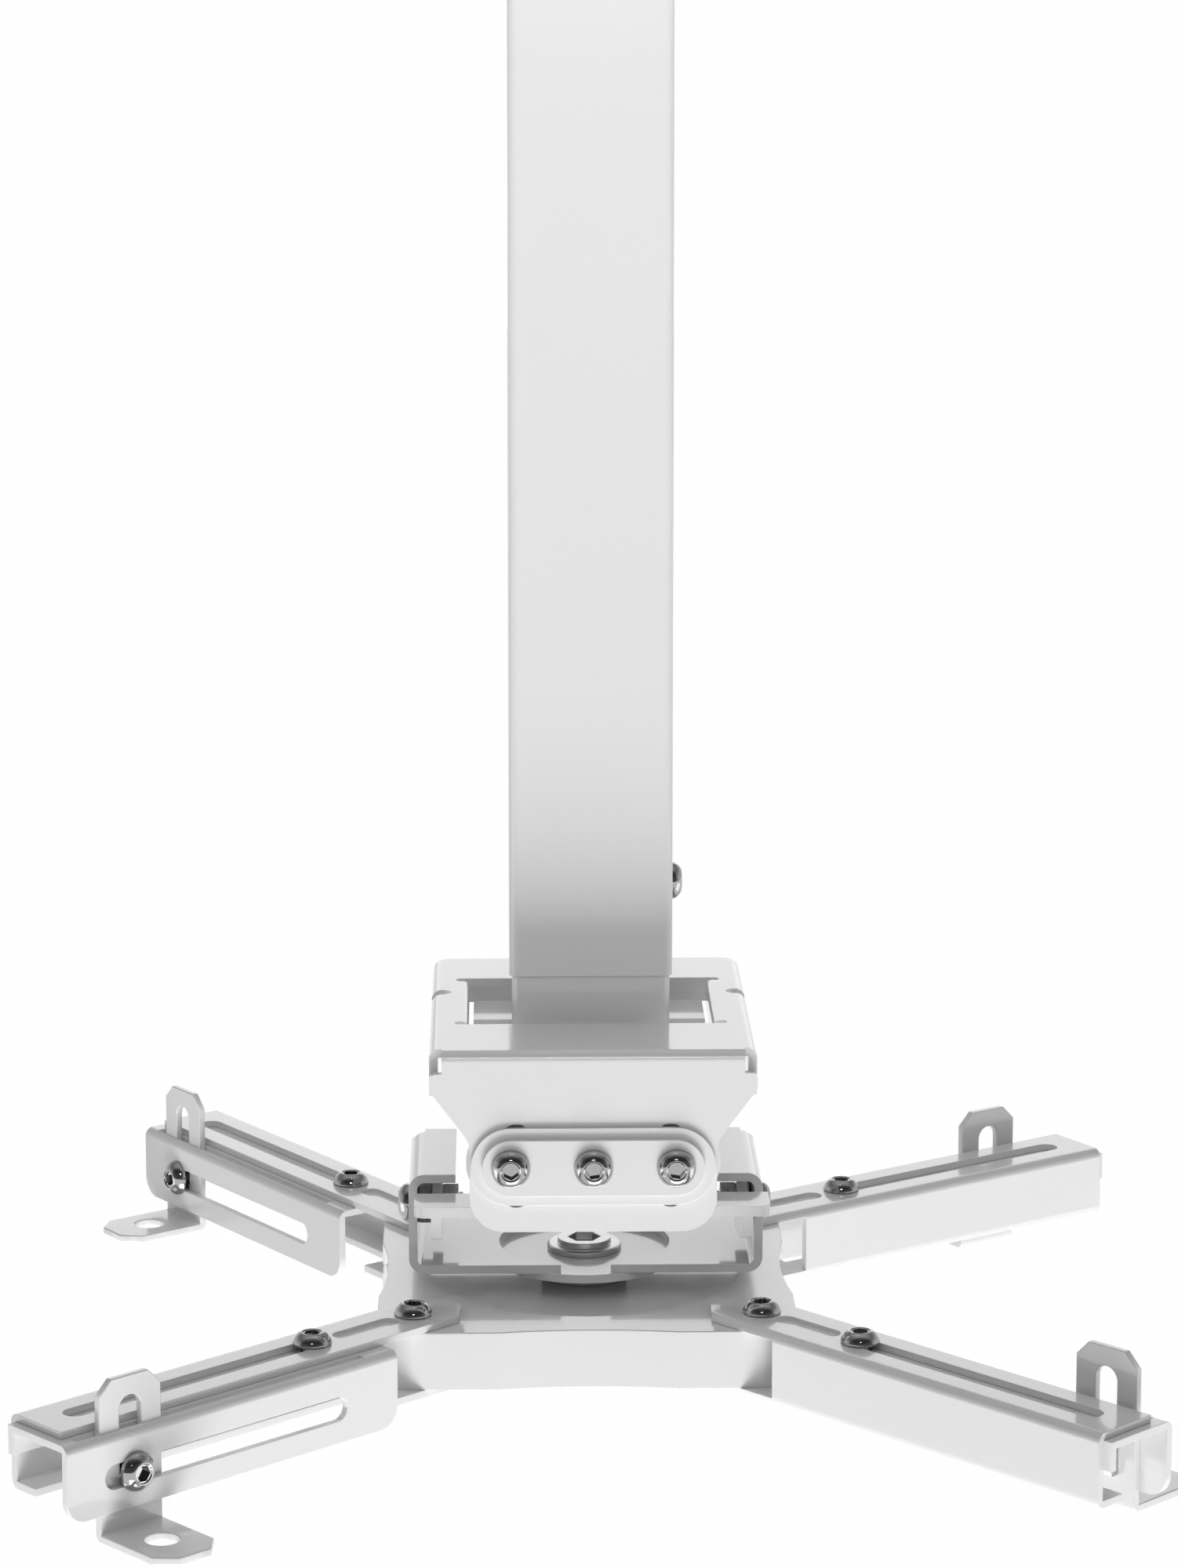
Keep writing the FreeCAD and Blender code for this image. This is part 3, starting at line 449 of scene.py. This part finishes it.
def on_hub_rim(point):
    """Whether a point lies on the hub's upper edge, outside its dish."""
    return point.z > hub_top - TOP_WITHIN and point.xy.length > DISH_EDGE


eased("hub_plate", bend=on_hub_rim, bend_size=0.0018)

# The four arms are alike: a C channel that grips the hub's ear, a slider folded as a U that
# draws out of it, and a slotted foot on the slider's flange. Each screw stopped at its own turn.
ARMS = {"nl": "near_left", "nr": "near_right", "fl": "far_left", "fr": "far_right"}
PIVOT_TURNS = {"nl": 16, "nr": 44, "fl": 3, "fr": 27}
SLIDE_TURNS = {"nl": 41, "nr": 9, "fl": 30, "fr": 52}
FOOT_TURNS = {"nl": 25, "nr": 50, "fl": 14, "fr": 36}
UP = Vector((0, 0, 1))


def across_arm(place):
    """The way an arm's foot screw points: level, and square to the way its slider draws out."""
    joint = next(j for j in frame["joints"] if j["name"] == "extend_" + place)
    along = Vector(joint["axis"])
    return Vector((-along.y, along.x, 0)).normalized()


for tag in ARMS:
    for sheet in ("arm_channel_", "arm_slider_", "arm_foot_"):
        eased(sheet + tag, rim=0.0007)
    for nut in ("pivot_nut_", "slide_nut_", "foot_nut_"):
        eased(nut + tag, rim=0.0004, finish=zinc)
drive_screws([("pivot_screw_" + tag, UP, PIVOT_TURNS[tag]) for tag in ARMS])
drive_screws([("slide_screw_" + tag, UP, SLIDE_TURNS[tag]) for tag in ARMS])
drive_screws([("foot_screw_" + tag, across_arm(ARMS[tag]), FOOT_TURNS[tag]) for tag in ARMS])

# The studio is a plain pale floor as far below as under a real ceiling, so wide that its edge
# lies past the picture. Soft light comes from all round, and most of it from low in front.
FLOOR_LOW = 1.6
FLOOR_WIDE = 240
FLOOR_TONE = (0.8, 0.8, 0.8, 1)
FLOOR_GLOW = 1.016
GLOW_SHARE = 0.97
bpy.ops.object.select_all(action="DESELECT")
bpy.ops.mesh.primitive_plane_add(size=FLOOR_WIDE, location=(0, 0, cad_box[0][2] - FLOOR_LOW))
floor = bpy.context.object
floor.name = "floor"


def pale_ground():
    """A pale grey floor that the camera and the metal see as the picture's white."""
    material = bpy.data.materials.new("pale floor")
    material.use_nodes = True
    nodes, links = material.node_tree.nodes, material.node_tree.links
    matt = nodes["Principled BSDF"]
    matt.inputs["Base Color"].default_value = FLOOR_TONE
    matt.inputs["Roughness"].default_value = 0.9
    path = nodes.new("ShaderNodeLightPath")
    glow, mix = nodes.new("ShaderNodeEmission"), nodes.new("ShaderNodeMixShader")
    glow.inputs["Strength"].default_value = FLOOR_GLOW
    seen, sharp, share = (nodes.new("ShaderNodeMath") for _ in range(3))
    sharp.use_clamp = True
    share.operation = "MULTIPLY"
    share.inputs[1].default_value = GLOW_SHARE
    links.new(path.outputs["Is Glossy Ray"], seen.inputs[0])
    links.new(path.outputs["Is Transmission Ray"], seen.inputs[1])
    links.new(path.outputs["Is Camera Ray"], sharp.inputs[0])
    links.new(seen.outputs[0], sharp.inputs[1])
    links.new(sharp.outputs[0], share.inputs[0])
    links.new(share.outputs[0], mix.inputs["Fac"])
    links.new(matt.outputs["BSDF"], mix.inputs[1])
    links.new(glow.outputs["Emission"], mix.inputs[2])
    links.new(mix.outputs["Shader"], nodes["Material Output"].inputs["Surface"])
    return material


floor.data.materials.append(pale_ground())


def level_ramp(nodes, name, levels):
    """A grey ramp through (position, level) pairs."""
    ramp = nodes.new("ShaderNodeValToRGB")
    ramp.name = name
    while len(ramp.color_ramp.elements) < len(levels):
        ramp.color_ramp.elements.new(0.5)
    for element, (position, level) in zip(ramp.color_ramp.elements, levels):
        element.position = position
        element.color = (level, level, level, 1)
    return ramp


COLOUR_A, COLOUR_B, COLOUR_OUT = 6, 7, 2
FILL_LEVELS = [(0.0, 0.25), (0.5, 0.12), (0.65, 0.22), (0.8, 0.45), (1.0, 0.55)]
PANEL_LEVELS = [(0.0, 0.9), (0.5, 0.8), (0.66, 0.7), (0.72, 0.4), (0.85, 0.25), (1.0, 0.6)]
GAP_LEVELS = [(0.0, 0.12), (0.3, 0.2), (0.46, 0.9), (1.0, 1.0)]


def studio_world():
    """White to the camera. The light's levels go from straight below to straight above, and the
    steel sees bright panels at its sides and back, with dim gaps between them in front."""
    world = bpy.data.worlds.new("studio")
    world.use_nodes = True
    nodes, links = world.node_tree.nodes, world.node_tree.links
    base = nodes["Background"]
    base.inputs["Strength"].default_value = 1.0
    way, split = nodes.new("ShaderNodeTexCoord"), nodes.new("ShaderNodeSeparateXYZ")
    links.new(way.outputs["Generated"], split.inputs[0])
    height, back = nodes.new("ShaderNodeMapRange"), nodes.new("ShaderNodeMapRange")
    for spread, axis in ((height, "Z"), (back, "Y")):
        spread.inputs["From Min"].default_value = -1.0
        spread.inputs["From Max"].default_value = 1.0
        links.new(split.outputs[axis], spread.inputs["Value"])
    fill = level_ramp(nodes, "fill", FILL_LEVELS)
    panels = level_ramp(nodes, "panels", PANEL_LEVELS)
    gaps = level_ramp(nodes, "gaps", GAP_LEVELS)
    links.new(height.outputs["Result"], fill.inputs["Fac"])
    links.new(height.outputs["Result"], panels.inputs["Fac"])
    links.new(back.outputs["Result"], gaps.inputs["Fac"])
    studio, by_gloss, by_eye = (nodes.new("ShaderNodeMix") for _ in range(3))
    for mix in (studio, by_gloss, by_eye):
        mix.data_type = "RGBA"
    studio.blend_type = "MULTIPLY"
    studio.inputs[0].default_value = 1.0
    path = nodes.new("ShaderNodeLightPath")
    eye = nodes.new("ShaderNodeMath")
    eye.use_clamp = True
    links.new(path.outputs["Is Camera Ray"], eye.inputs[0])
    links.new(path.outputs["Is Transmission Ray"], eye.inputs[1])
    links.new(panels.outputs["Color"], studio.inputs[COLOUR_A])
    links.new(gaps.outputs["Color"], studio.inputs[COLOUR_B])
    links.new(path.outputs["Is Glossy Ray"], by_gloss.inputs[0])
    links.new(fill.outputs["Color"], by_gloss.inputs[COLOUR_A])
    links.new(studio.outputs[COLOUR_OUT], by_gloss.inputs[COLOUR_B])
    links.new(eye.outputs[0], by_eye.inputs[0])
    links.new(by_gloss.outputs[COLOUR_OUT], by_eye.inputs[COLOUR_A])
    by_eye.inputs[COLOUR_B].default_value = (1, 1, 1, 1)
    links.new(by_eye.outputs[COLOUR_OUT], base.inputs["Color"])
    bpy.context.scene.world = world


studio_world()


def softbox(name, place, target, size, watts, spread=180):
    """A square lamp turned to a target, with a grid over it where its spread is narrow."""
    lamp = bpy.data.objects.new(name, bpy.data.lights.new(name, "AREA"))
    lamp.data.energy = watts
    lamp.data.size = size
    lamp.data.spread = math.radians(spread)
    lamp.location = place
    lamp.rotation_euler = (Vector(target) - Vector(place)).to_track_quat("-Z", "Y").to_euler()
    bpy.context.collection.objects.link(lamp)


HEAD_PLACE, COLUMN_PLACE = (0, 0, -0.36), (0, 0, -0.02)
softbox("low key", (0.1, -0.95, -1.6), HEAD_PLACE, 0.9, 24.5)
softbox("column key", (0.0, -1.2, 0.6), COLUMN_PLACE, 0.3, 0.15, spread=25)
softbox("back fill", (0.1, 1.5, 0.2), HEAD_PLACE, 1.1, 2.4)
softbox("left fill", (-1.4, -0.2, -1.0), HEAD_PLACE, 0.9, 3)
softbox("right fill", (1.4, -0.1, -1.0), HEAD_PLACE, 0.9, 2.5)

bpy.context.scene.view_settings.view_transform = "Standard"
